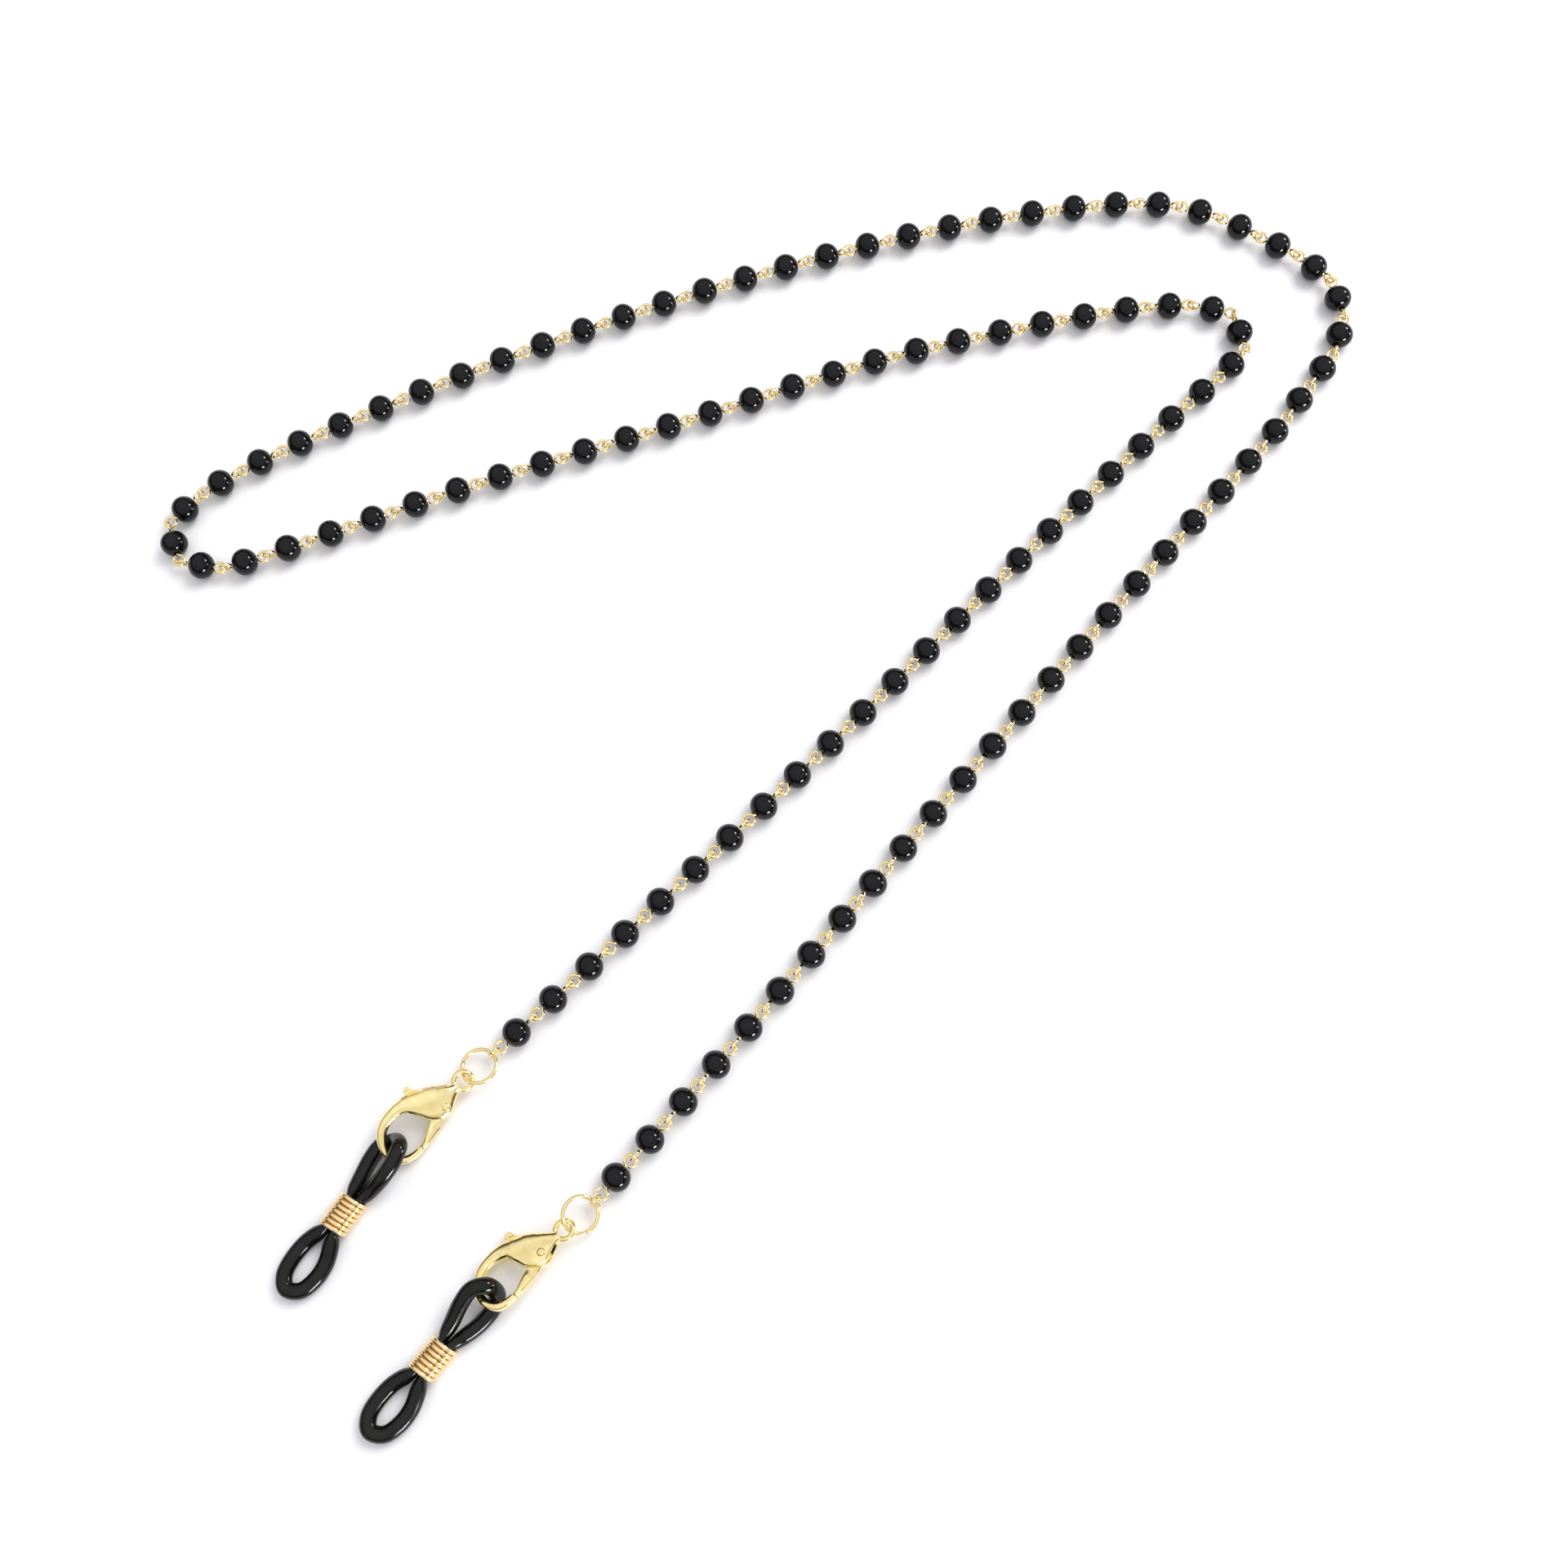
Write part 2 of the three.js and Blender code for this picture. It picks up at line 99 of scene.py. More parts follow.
CAMERA_TILT = math.radians(17.4)
CAMERA_ROLL = math.radians(-3.8)
camera_data = bpy.data.cameras.new("camera")
camera_data.lens = 41.25
camera_data.sensor_width = 36
camera_data.clip_start = 0.01
camera = bpy.data.objects.new("camera", camera_data)
camera.matrix_world = (
    Matrix.Translation((0, -0.0795, 0.2411))
    @ Matrix.Rotation(CAMERA_TILT, 4, "X")
    @ Matrix.Rotation(CAMERA_ROLL, 4, "Z")
)
bpy.context.scene.collection.objects.link(camera)
bpy.context.scene.camera = camera


# ---------------------------------------------------------------- materials


def new_material(name):
    material = bpy.data.materials.new(name)
    material.use_nodes = True
    nodes = material.node_tree.nodes
    nodes.clear()
    shader = nodes.new("ShaderNodeBsdfPrincipled")
    output = nodes.new("ShaderNodeOutputMaterial")
    material.node_tree.links.new(shader.outputs[0], output.inputs["Surface"])
    coordinates = nodes.new("ShaderNodeTexCoord")
    return material, shader, coordinates


def noise_node(material, coordinates, scale, detail=3.0, roughness=0.55, stretch=None):
    nodes, links = material.node_tree.nodes, material.node_tree.links
    texture = nodes.new("ShaderNodeTexNoise")
    texture.inputs["Scale"].default_value = scale
    texture.inputs["Detail"].default_value = detail
    texture.inputs["Roughness"].default_value = roughness
    source = coordinates.outputs["Object"]
    if stretch:
        mapping = nodes.new("ShaderNodeMapping")
        mapping.inputs["Scale"].default_value = stretch
        links.new(source, mapping.inputs["Vector"])
        source = mapping.outputs["Vector"]
    links.new(source, texture.inputs["Vector"])
    return texture.outputs["Fac"]


def ramp(material, source, low, high, start=0.35, end=0.65):
    """Maps a texture from start..end to low..high: numbers or colours."""
    node = material.node_tree.nodes.new("ShaderNodeValToRGB")
    for stop, position, value in zip(node.color_ramp.elements, (start, end), (low, high)):
        stop.position = position
        stop.color = (value, value, value, 1) if isinstance(value, float) else (*value, 1)
    material.node_tree.links.new(source, node.inputs["Fac"])
    return node.outputs["Color"]


def bump(material, shader, heights):
    """Chains bump nodes, one for each (texture, strength, distance)."""
    nodes, links = material.node_tree.nodes, material.node_tree.links
    last = None
    for source, strength, distance in heights:
        node = nodes.new("ShaderNodeBump")
        node.inputs["Strength"].default_value = strength
        node.inputs["Distance"].default_value = distance
        links.new(source, node.inputs["Height"])
        if last:
            links.new(last, node.inputs["Normal"])
        last = node.outputs["Normal"]
    links.new(last, shader.inputs["Normal"])


def gold(name, light, deep, smooth, rough, waviness):
    material, shader, coordinates = new_material(name)
    links = material.node_tree.links
    shader.inputs["Metallic"].default_value = 1.0
    patches = noise_node(material, coordinates, 900, 4)
    grain = noise_node(material, coordinates, 9000, 2)
    wave = noise_node(material, coordinates, 420, 1, 0.4)
    scratches = noise_node(material, coordinates, 2600, 3, 0.6, (1, 14, 1))
    links.new(ramp(material, patches, deep, light), shader.inputs["Base Color"])
    links.new(ramp(material, scratches, smooth, rough), shader.inputs["Roughness"])
    bump(material, shader, [
        (wave, waviness, 0.0006), (scratches, 0.05, 0.00002), (grain, 0.05, 0.00002),
    ])
    return material


def black_glass():
    material, shader, coordinates = new_material("black_bead_glass")
    links = material.node_tree.links
    tint = noise_node(material, coordinates, 350, 2)
    haze = noise_node(material, coordinates, 1600, 4)
    skin = noise_node(material, coordinates, 700, 2)
    links.new(
        ramp(material, tint, (0.0035, 0.0045, 0.004), (0.006, 0.0055, 0.008)),
        shader.inputs["Base Color"],
    )
    links.new(ramp(material, haze, 0.045, 0.1), shader.inputs["Roughness"])
    shader.inputs["IOR"].default_value = 1.5
    shader.inputs["Specular IOR Level"].default_value = 0.22
    bump(material, shader, [(skin, 0.1, 0.0001)])
    return material


def black_rubber():
    material, shader, coordinates = new_material("black_loop_rubber")
    links = material.node_tree.links
    bloom = noise_node(material, coordinates, 500, 4)
    pores = noise_node(material, coordinates, 7000, 3)
    skin = noise_node(material, coordinates, 900, 3)
    links.new(
        ramp(material, bloom, (0.003, 0.003, 0.0028), (0.007, 0.0065, 0.005)),
        shader.inputs["Base Color"],
    )
    links.new(ramp(material, skin, 0.1, 0.2), shader.inputs["Roughness"])
    shader.inputs["IOR"].default_value = 1.5
    shader.inputs["Specular IOR Level"].default_value = 0.28
    bump(material, shader, [(skin, 0.12, 0.00012), (pores, 0.08, 0.00003)])
    return material


GLASS = black_glass()
RUBBER_SKIN = black_rubber()
WIRE_GOLD = gold("gold_wire_plate", (0.97, 0.82, 0.46), (0.93, 0.73, 0.34), 0.10, 0.20, 0.08)
CLASP_GOLD = gold("gold_cast_plate", (0.98, 0.83, 0.42), (0.94, 0.75, 0.33), 0.07, 0.14, 0.09)
COIL_GOLD = gold("gold_coil_plate", (0.97, 0.77, 0.44), (0.93, 0.66, 0.31), 0.12, 0.22, 0.08)
INNER_STEEL = gold("spring_leaf_plate", (0.80, 0.66, 0.38), (0.62, 0.48, 0.26), 0.22, 0.34, 0.05)


# ---------------------------------------------------------------- mesh helpers


def to_mesh(name, points, faces, material, flat=()):
    """A mesh in metres from points in millimetres. Faces listed in flat are cut faces."""
    mesh = bpy.data.meshes.new(name)
    mesh.from_pydata([tuple(c * MM for c in p) for p in points], [], faces)
    mesh.update()
    cut = set(flat)
    for polygon in mesh.polygons:
        polygon.use_smooth = polygon.index not in cut
    mesh.materials.append(material)
    return mesh


def place(name, mesh, matrix=None):
    piece = bpy.data.objects.new(name, mesh)
    bpy.context.scene.collection.objects.link(piece)
    if matrix is not None:
        piece.matrix_world = Matrix.Translation(matrix.translation * (MM - 1)) @ matrix
    return piece


def smooth_path(corners, closed=False, spacing=0.25):
    """A centripetal Catmull-Rom curve through the corners, as evenly spaced points."""
    knots = [Vector(c) for c in corners]
    count = len(knots)
    dense = []
    for i in range(count if closed else count - 1):
        if closed:
            a, b, c, d = (knots[(i + k) % count] for k in (-1, 0, 1, 2))
        else:
            b, c = knots[i], knots[i + 1]
            a = knots[i - 1] if i else 2 * b - c
            d = knots[i + 2] if i + 2 < count else 2 * c - b
        t0 = 0.0
        t1 = t0 + max((b - a).length, 1e-6) ** 0.5
        t2 = t1 + max((c - b).length, 1e-6) ** 0.5
        t3 = t2 + max((d - c).length, 1e-6) ** 0.5
        steps = 16
        for k in range(steps):
            t = t1 + (t2 - t1) * k / steps
            p1 = a.lerp(b, (t - t0) / (t1 - t0))
            p2 = b.lerp(c, (t - t1) / (t2 - t1))
            p3 = c.lerp(d, (t - t2) / (t3 - t2))
            q1 = p1.lerp(p2, (t - t0) / (t2 - t0))
            q2 = p2.lerp(p3, (t - t1) / (t3 - t1))
            dense.append(q1.lerp(q2, (t - t1) / (t2 - t1)))
    dense.append(dense[0].copy() if closed else knots[-1])
    lengths = np.concatenate([[0], np.cumsum([(q - p).length for p, q in zip(dense, dense[1:])])])
    total = lengths[-1]
    number = max(3, int(round(total / spacing)))
    at = np.linspace(0, total, number + 1)
    if closed:
        at = at[:-1]
    array = np.array(dense)
    return [Vector(p) for p in np.stack([np.interp(at, lengths, array[:, k]) for k in range(3)], 1)]


def tangents(path, closed=False):
    count = len(path)
    out = []
    for i in range(count):
        if closed:
            step = path[(i + 1) % count] - path[i - 1]
        else:
            step = path[min(i + 1, count - 1)] - path[max(i - 1, 0)]
        out.append(step.normalized())
    return out


def carried_sides(directions):
    """A side direction for each point, carried along the path without twist."""
    first = directions[0]
    side = first.cross(Z if abs(first.z) < 0.9 else Vector((1, 0, 0))).normalized()
    out = []
    for direction in directions:
        side = (side - direction * side.dot(direction)).normalized()
        out.append(side)
    return out


def tube(path, radius, around=10, closed=False, section=None, level=False):
    """Points and faces of a tube along a path, with slightly rounded cut ends.
    section(i) gives the half width and half height at a point, level keeps the width level."""
    directions = tangents(path, closed)
    if level:
        sides = [d.cross(Z).normalized() for d in directions]
    else:
        sides = carried_sides(directions)
    rings = []
    for i, (point, direction, side) in enumerate(zip(path, directions, sides)):
        wide, high = section(i) if section else (radius, radius)
        rings.append((point, side * wide, side.cross(direction) * high))
    if not closed:
        chamfer = 0.18 * radius
        for index, sign in ((0, -1), (len(rings) - 1, 1)):
            point, wide, high = rings[index]
            end = (point + directions[index] * sign * chamfer, wide * 0.84, high * 0.84)
            if sign < 0:
                rings.insert(0, end)
                directions.insert(0, directions[0])
            else:
                rings.append(end)
    points = []
    for point, wide, high in rings:
        for k in range(around):
            angle = 2 * math.pi * k / around
            points.append(point + wide * math.cos(angle) + high * math.sin(angle))
    faces = []
    count = len(rings)
    for i in range(count if closed else count - 1):
        for k in range(around):
            a, b = i * around + k, i * around + (k + 1) % around
            c, d = ((i + 1) % count) * around + (k + 1) % around, ((i + 1) % count) * around + k
            faces.append((a, b, c, d))
    flat = []
    if not closed:
        flat = [len(faces), len(faces) + 1]
        faces.append(tuple(reversed(range(around))))
        faces.append(tuple((count - 1) * around + k for k in range(around)))
    return points, faces, flat


def merged(parts):
    points, faces, flat = [], [], []
    for part_points, part_faces, part_flat in parts:
        flat += [f + len(faces) for f in part_flat]
        faces += [tuple(v + len(points) for v in face) for face in part_faces]
        points += part_points
    return points, faces, flat


def prism(outline, thickness):
    """A plate with its outline in the XY plane, centred on z = 0."""
    count = len(outline)
    points = [Vector((x, y, s * thickness / 2)) for s in (-1, 1) for x, y in outline]
    faces = [tuple(reversed(range(count))), tuple(range(count, 2 * count))]
    for k in range(count):
        n = (k + 1) % count
        faces.append((k, n, count + n, count + k))
    return points, faces, []


def loft(stations, around=40):
    """A solid through domed sections in planes square to the XY spine. A station is (x, y,
    width to the left, width to the right, half thickness, the edge wall's share of it)."""
    spine = smooth_path([(s[0], s[1], 0) for s in stations], spacing=0.12)
    knots = [Vector((s[0], s[1], 0)) for s in stations]
    where = [min(range(len(spine)), key=lambda i: (spine[i] - k).length) for k in knots]
    where[0], where[-1] = 0, len(spine) - 1
    sizes = np.array([s[2:] for s in stations])
    at = np.arange(len(spine))
    smoothed = []
    for k in range(4):
        values = np.interp(at, where, sizes[:, k])
        kernel = np.hanning(9)
        padded = np.pad(values, 4, mode="edge")
        smoothed.append(np.convolve(padded, kernel / kernel.sum(), mode="valid"))
    directions = tangents(spine)
    points, faces = [], []
    for i, (point, direction) in enumerate(zip(spine, directions)):
        left, right, thick, wall = (s[i] for s in smoothed)
        side = Vector((-direction.y, direction.x, 0))
        for k in range(around):
            angle = 2 * math.pi * (k + 0.5) / around
            c, s = math.cos(angle), math.sin(angle)
            u = math.copysign(abs(c) ** 0.86, c)
            v = math.copysign(wall + (1 - wall) * abs(s) ** 0.9, s)
            points.append(point + side * (left if u > 0 else right) * u + Z * thick * v)
    count = len(spine)
    for i in range(count - 1):
        for k in range(around):
            n = (k + 1) % around
            a = i * around
            faces.append((a + k, a + around + k, a + around + n, a + n))
    faces.append(tuple(range(around)))
    faces.append(tuple((count - 1) * around + k for k in reversed(range(around))))
    return points, faces, []


def ring(radius, wire, around=48, section=14):
    path = [
        Vector((radius * math.cos(2 * math.pi * k / around),
                radius * math.sin(2 * math.pi * k / around), 0))
        for k in range(around)
    ]
    return tube(path, wire, section, closed=True)


def cast(name, solids, cuts, material, smoothing):
    """Fuses solids, cuts slots and bores, and rounds every edge a little, like a casting."""
    objects = []
    for label, parts in (("solid", merged(solids)), *(("cut", c) for c in cuts)):
        mesh = bpy.data.meshes.new(label)
        mesh.from_pydata([tuple(p) for p in parts[0]], [], parts[1])
        mesh.update()
        helper = bpy.data.objects.new(label, mesh)
        bpy.context.scene.collection.objects.link(helper)
        objects.append(helper)
    solid = objects[0]

    def remesh():
        modifier = solid.modifiers.new("fuse", "REMESH")
        modifier.mode = "VOXEL"
        modifier.voxel_size = CAST_VOXEL
        modifier.use_smooth_shade = True

    remesh()
    for cutter in objects[1:]:
        modifier = solid.modifiers.new("cut", "BOOLEAN")
        modifier.operation = "DIFFERENCE"
        modifier.solver = "EXACT"
        modifier.object = cutter
    if cuts:
        remesh()
    modifier = solid.modifiers.new("soften", "SMOOTH")
    modifier.factor = 0.5
    modifier.iterations = smoothing
    depsgraph = bpy.context.evaluated_depsgraph_get()
    depsgraph.update()
    result = bpy.data.meshes.new_from_object(solid.evaluated_get(depsgraph))
    result.name = name
    result.transform(Matrix.Scale(MM, 4))
    result.materials.clear()
    result.materials.append(material)
    for polygon in result.polygons:
        polygon.use_smooth = True
        polygon.material_index = 0
    for helper in objects:
        mesh = helper.data
        bpy.data.objects.remove(helper)
        bpy.data.meshes.remove(mesh)
    return result


# ---------------------------------------------------------------- chain


def link_points():
    """Points one link apart along the route, the same as the CAD solids'."""
    corners = [Vector((x, y, CHAIN_HEIGHT)) for x, y in ROUTE]
    last = len(corners) - 1
    fine = []
    for i in range(last):
        p1, p2 = corners[i], corners[i + 1]
        p0 = corners[i - 1] if i else 2 * p1 - p2
        p3 = corners[i + 2] if i + 2 <= last else 2 * p2 - p1
        t0, t1 = (p2 - p0) * 0.5, (p3 - p1) * 0.5
        c2 = -3 * p1 + 3 * p2 - 2 * t0 - t1
        c3 = 2 * p1 - 2 * p2 + t0 + t1
        for k in range(24):
            t = k / 24
            fine.append(p1 + t0 * t + c2 * t * t + c3 * t ** 3)
    fine.append(corners[-1])
    points = [fine[0].copy()]
    ahead = 1
    while len(points) <= LINK_COUNT:
        start = points[-1]
        while ahead < len(fine) - 1 and (fine[ahead] - start).length < LINK_PITCH:
            ahead += 1
        before = fine[ahead - 1]
        along = (fine[ahead] - before).normalized()
        offset = before - start
        b = offset.dot(along)
        c = offset.length_squared - LINK_PITCH ** 2
        points.append(before + along * (-b + math.sqrt(b * b - c)))
    return points


POINTS = link_points()


def heading_of(link):
    return (POINTS[link + 1] - POINTS[link]).normalized()


def frame_from(x, y, z, origin):
    matrix = Matrix((x, y, z)).transposed().to_4x4()
    matrix.translation = origin
    return matrix


def link_frame(link):
    x = heading_of(link)
    return frame_from(x, Z.cross(x), Z, (POINTS[link] + POINTS[link + 1]) / 2)


def bead_mesh():
    """Pressed glass bead: a little shorter than round, its hole's lip rounded over."""
    hole, lip = 0.47, 0.12
    cut_at = 0.93
    profile = []
    start = math.acos(cut_at)
    steps = 26
    for k in range(steps + 1):
        angle = start + (math.pi - 2 * start) * k / steps
        profile.append(
            (-BEAD_HALF_LENGTH * math.cos(angle) / cut_at, BEAD_RADIUS * math.sin(angle))
        )
    turn = []
    for k in range(1, 6):
        angle = math.pi / 2 * k / 5
        turn.append((
            BEAD_HALF_LENGTH - lip * (1 - math.cos(angle)), hole + lip - lip * math.sin(angle),
        ))
    turn.insert(0, (BEAD_HALF_LENGTH, hole + lip + 0.04))
    profile = [(-x, r) for x, r in reversed(turn)] + profile + turn
    around = 36
    points = [
        Vector((x, r * math.cos(2 * math.pi * k / around), r * math.sin(2 * math.pi * k / around)))
        for x, r in profile for k in range(around)
    ]
    count = len(profile)
    faces = []
    for i in range(count):
        for k in range(around):
            n = (k + 1) % around
            a, b = i * around, ((i + 1) % count) * around
            faces.append((a + k, b + k, b + n, a + n))
    return to_mesh("glass_bead", points, faces, GLASS)


def eye_path(side, opening):
    """The wire from inside the bead's hole to the end of the eye, in the eye's own plane."""
    path = [(0, 0), (1.0, 0), (1.62, 0), (1.86, -0.04 * side)]
    start = math.radians(EYE_START)
    sweep = math.radians(EYE_SWEEP - opening)
    steps = 26
    for k in range(steps + 1):
        angle = start + sweep * k / steps
        path.append((
            EYE_CENTRE + EYE_RADIUS * math.cos(angle), side * EYE_RADIUS * math.sin(angle),
        ))
    return path


def pin_mesh(index, both_flat=False):
    """A wire with an eye at each end, the second turned a quarter unless both_flat."""
    turn = random.Random(100 + index)
    near = eye_path(1 if index % 2 else -1, turn.uniform(0, 6))
    far = eye_path(1 if index // 2 % 2 else -1, turn.uniform(0, 6))
    start = [Vector((-x, y, 0)) for x, y in reversed(near[1:])]
    finish = [Vector((x, y, 0)) if both_flat else Vector((x, 0, y)) for x, y in far[1:]]
    path = smooth_path(start + finish, spacing=0.13)
    return to_mesh("eye_pin", *merged_for_mesh(tube(path, WIRE, 10)))


def merged_for_mesh(parts, material=WIRE_GOLD):
    """The arguments of to_mesh after its name."""
    points, faces, flat = parts
    return points, faces, material, flat


BEAD_MESH = bead_mesh()
PIN_MESHES = [pin_mesh(k) for k in range(8)]
LAST_PIN_MESH = pin_mesh(9, both_flat=True)


def add_link(link, bead_body, pin_body):
    """One bead and its eye pin, each turned and tilted a little as it lies."""
    spin = Matrix.Rotation(rng.uniform(0, 2 * math.pi), 4, "X")
    tilt = Matrix.Rotation(math.radians(rng.uniform(-3, 3)), 4, "Z")
    size = Matrix.Diagonal((rng.uniform(0.985, 1.015), *[rng.uniform(0.985, 1.0)] * 2, 1))
    bead = place(f"bead_{link + 1:03d}", BEAD_MESH, link_frame(link) @ tilt @ spin @ size)
    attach(bead, bead_body)
    roll = Matrix.Rotation(math.radians(rng.uniform(-7, 7)), 4, "X")
    mesh = LAST_PIN_MESH if link == LINK_COUNT - 1 else rng.choice(PIN_MESHES)
    pin = place(f"eye_pin_{link + 1:03d}", mesh, link_frame(link) @ roll)
    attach(pin, pin_body)
    return bead, pin


def add_chain():
    bead, pin = add_link(0, "left_end_bead", "left_end_pin")
    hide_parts("left_end_bead")
    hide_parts("left_end_eye_pin")
    link = 1
    for index, count in enumerate(RUN_LENGTHS):
        run = f"bead_run_{index + 1:02d}"
        for k in range(count):
            bead, _ = add_link(link, run, run)
            if k == 0:
                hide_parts(run)
            link += 1
    bead, pin = add_link(link, "right_end_bead", "right_end_pin")
    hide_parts("right_end_bead")
    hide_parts("right_end_eye_pin")


# ---------------------------------------------------------------- clasp

# Stations along the casting, from the neck at the rear eye to the tip of the hook.
CASTING = [
    (0.95, 0.0, 0.55, 0.55, 0.45, 0.2), (1.5, 0.04, 0.8, 0.8, 0.8, 0.35),
    (2.4, 0.18, 1.22, 1.35, 1.12, 0.5), (3.0, 0.3, 1.5, 1.9, 1.26, 0.5),
    (3.6, 0.45, 1.75, 2.4, 1.34, 0.5), (4.2, 0.72, 1.87, 2.7, 1.38, 0.5),
    (4.8, 1.0, 1.99, 2.45, 1.4, 0.5), (5.4, 1.42, 1.98, 2.1, 1.4, 0.5),
    (6.0, 1.9, 1.75, 1.65, 1.37, 0.5), (6.7, 2.5, 1.5, 1.2, 1.28, 0.5),
    (7.4, 3.0, 1.3, 0.85, 1.14, 0.45), (8.3, 3.42, 0.98, 0.82, 0.98, 0.35),
    (9.49, 3.6, 0.78, 0.78, 0.85, 0.25), (11.16, 3.34, 0.7, 0.7, 0.78, 0.2),
    (12.2, 2.7, 0.65, 0.65, 0.7, 0.1), (13.15, 1.4, 0.6, 0.6, 0.66, 0.05),
    (13.38, 0.2, 0.58, 0.58, 0.68, 0.1), (13.05, -1.1, 0.57, 0.57, 0.72, 0.15),
    (12.25, -2.0, 0.55, 0.55, 0.72, 0.2), (11.1, -2.38, 0.5, 0.5, 0.7, 0.25),
    (9.8, -2.42, 0.44, 0.44, 0.66, 0.35),
]
SLOT_OUTLINE = [
    (1.9, -1.6), (4.3, -3.0), (6.0, -3.0), (8.6, 0.5), (7.75, 2.1), (7.2, 3.2), (7.3, 6.0),
    (1.9, 6.0),
]
LEVER_OUTLINE = [
    (3.1, -1.1), (3.6, -1.55), (5.2, -1.85), (6.9, -2.35), (7.1, -1.0), (6.5, -0.65),
    (5.6, 0.3), (5.6, 2.4), (6.45, 3.75), (6.5, 4.45), (6.1, 4.95), (5.65, 5.0), (5.4, 4.7),
    (5.2, 3.9), (4.4, 2.9), (3.7, 1.0), (3.05, -0.2),
]
GATE = [
    (5.2, -1.1, 0.78, 0.78, 0.36, 0.5), (6.2, -1.42, 0.8, 0.8, 0.38, 0.5),
    (6.75, -1.6, 0.78, 0.78, 0.5, 0.5), (7.15, -1.72, 0.74, 0.74, 0.7, 0.45),
    (8.2, -2.05, 0.58, 0.58, 0.74, 0.4), (9.0, -2.3, 0.44, 0.44, 0.72, 0.35),
    (9.74, -2.42, 0.36, 0.36, 0.66, 0.35),
]
KNOB_OUTLINE = [
    (5.34, 3.95), (5.42, 4.6), (5.68, 4.98), (6.1, 4.98), (6.48, 4.62), (6.55, 4.4),
]
SLOT_WIDTH = 1.02
LEVER_THICKNESS = 0.76
KNOB_THICKNESS = 1.15
PIVOT_BORE = 0.5
CUT_DEPTH = 3


def rod(radius, half, centre, around=24):
    """A round bar along Z, half long on each side of the XY plane."""
    points = [
        Vector((centre[0] + radius * math.cos(2 * math.pi * k / around),
                centre[1] + radius * math.sin(2 * math.pi * k / around), z))
        for z in (-half, half) for k in range(around)
    ]
    faces = [tuple(reversed(range(around))), tuple(range(around, 2 * around))]
    faces += [(k, (k + 1) % around, around + (k + 1) % around, around + k) for k in range(around)]
    return points, faces, []


def casting_mesh():
    solids = [loft(CASTING), ring(CLASP_EYE_RADIUS, CLASP_EYE_WIRE)]
    cuts = [prism(SLOT_OUTLINE, SLOT_WIDTH), rod(PIVOT_BORE, CUT_DEPTH, PIVOT)]
    return cast("clasp_casting", solids, cuts, CLASP_GOLD, smoothing=16)


def lever_mesh():
    solids = [
        prism(LEVER_OUTLINE, LEVER_THICKNESS), loft(GATE), prism(KNOB_OUTLINE, KNOB_THICKNESS),
    ]
    cuts = [rod(PIVOT_BORE, CUT_DEPTH, PIVOT)]
    return cast("clasp_lever", solids, cuts, CLASP_GOLD, smoothing=12)


def rivet_mesh():
    """A peened pin: a straight shank with a low domed head on each cheek."""
    profile = [(0.0, 1.46), (0.25, 1.45), (0.42, 1.41), (0.52, 1.34), (0.53, 1.26), (0.44, 1.2)]
    profile = profile + [(r, -z) for r, z in reversed(profile)]
    around = 32
    points, faces = [], []
    x, y = PIVOT
    for r, z in profile:
        for k in range(around):
            angle = 2 * math.pi * k / around
            reach = max(r, 0.01)
            points.append(
                Vector((x + reach * math.cos(angle), y + reach * math.sin(angle), z))
            )
    for i in range(len(profile) - 1):
        for k in range(around):
            n = (k + 1) % around
            a, b = i * around, (i + 1) * around
            faces.append((a + k, b + k, b + n, a + n))
    faces.append(tuple(range(around)))
    faces.append(tuple((len(profile) - 1) * around + k for k in reversed(range(around))))
    return to_mesh("clasp_rivet_pin", points, faces, CLASP_GOLD)


def spring_mesh():
    """A thin bent leaf: up from the end of the slot, over, and down on the lever's back."""
    centre = [
        (2.06, -0.5), (2.12, 0.2), (2.2, 0.78), (2.45, 1.02), (2.72, 0.86), (2.9, 0.45),
        (2.97, 0.2),
    ]
    path = smooth_path([(x, y, 0) for x, y in centre], spacing=0.08)
    directions = tangents(path)
    points, faces = [], []
    half, leaf = 0.36, 0.06
    for point, direction in zip(path, directions):
        side = Vector((-direction.y, direction.x, 0))
        for u, v in ((-1, -1), (-1, 1), (1, 1), (1, -1)):
            points.append(point + side * leaf * u + Z * half * v)
    for i in range(len(path) - 1):
        for k in range(4):
            n = (k + 1) % 4
            faces.append((4 * i + k, 4 * i + 4 + k, 4 * i + 4 + n, 4 * i + n))
    faces.append((0, 1, 2, 3))
    last = 4 * (len(path) - 1)
    faces.append((last + 3, last + 2, last + 1, last))
    return to_mesh("clasp_leaf", points, faces, INNER_STEEL, range(len(faces)))


CASTING_MESH = casting_mesh()
LEVER_MESH = lever_mesh()
RIVET_MESH = rivet_mesh()
SPRING_MESH = spring_mesh()


# ---------------------------------------------------------------- end assemblies


def split_ring(radius, wire, split_at, gap, lift):
    """A ring of round wire cut once, its two ends a little out of line."""
    start = math.radians(split_at) + gap / radius / 2
    sweep = 2 * math.pi - gap / radius
    steps = max(24, int(radius * 30))
    path = []
    for k in range(steps + 1):
        t = k / steps
        angle = start + sweep * t
        path.append(Vector((radius * math.cos(angle), radius * math.sin(angle), lift * (t - 0.5))))
    return tube(path, wire, 14)


def rolled_frame(origin, heading, rise, roll):
    """A frame with X along the heading, rising, and rolled about X from lying flat."""
    heading, roll = math.radians(heading), math.radians(roll)
    flat = math.sqrt(1 - rise ** 2)
    x = Vector((math.cos(heading) * flat, math.sin(heading) * flat, rise))
    level = Vector((x.y, -x.x, 0)).normalized()
    up = level.cross(x)
    y = level * math.cos(roll) + up * math.sin(roll)
    return frame_from(x, y, x.cross(y), origin)


